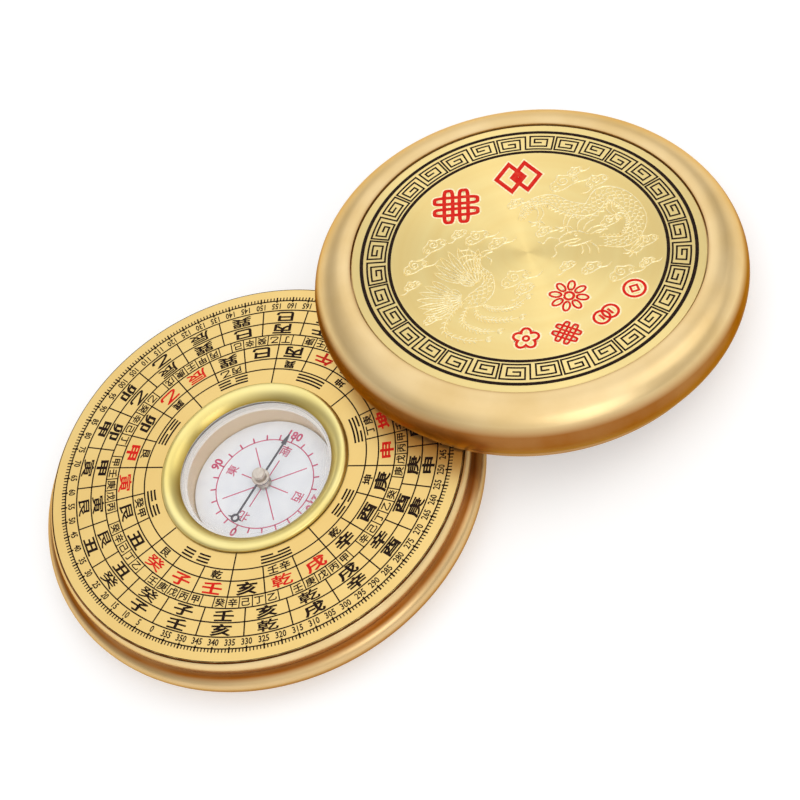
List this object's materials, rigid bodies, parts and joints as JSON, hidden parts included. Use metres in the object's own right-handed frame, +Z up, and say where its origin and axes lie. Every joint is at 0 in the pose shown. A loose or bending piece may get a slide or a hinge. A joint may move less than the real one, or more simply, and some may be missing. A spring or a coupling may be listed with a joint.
{
  "type": "feng shui compass",
  "caption": "Round brass pocket luopan: ringed dial plate with a sealed compass capsule and free needle, and a domed lid taken off and leaning on the case",
  "frame": {"origin": "centre of the case's flat underside, on the needle's axis, at table height", "axes": "+Z up along the needle's axis, out of the dial; +Y to the dial's north mark (the 0 degree tick); +X to its east mark"},
  "size_m": [0.1312, 0.1626, 0.0282],
  "materials": {
    "satin_brass": "satin, turned",
    "gilt_plate": "satin gilt with fired print",
    "bezel_gilt": "polished gilt",
    "clear_acrylic": "clear polished",
    "white_card": "matt print",
    "nickel": "satin nickel",
    "pin_steel": "polished",
    "blade_steel": "blued dark",
    "jewel_glass": "polished"
  },
  "bodies": {
    "case": {"base_case": "satin_brass", "dial_plate": "gilt_plate", "capsule_bezel": "bezel_gilt", "capsule_lens": "clear_acrylic", "capsule_cup": "clear_acrylic", "compass_card": "white_card", "pivot_boss": "nickel", "pivot_pin": "pin_steel"},
    "needle": {"needle_blade": "blade_steel", "needle_hub": "nickel", "needle_jewel": "jewel_glass"},
    "lid": {"lid_shell": "satin_brass", "lid_plate": "gilt_plate"}
  },
  "joints": [
    {"name": "needle_swing", "type": "hinge", "parent": "case", "child": "needle", "pos_m": [0, 0, 0.008], "axis": [0, 0, 1], "continuous": true},
    {"name": "lid_lift", "type": "slide", "parent": "case", "child": "lid", "axis": [0, 0, 1], "range_m": [0, 0.06]}
  ]
}
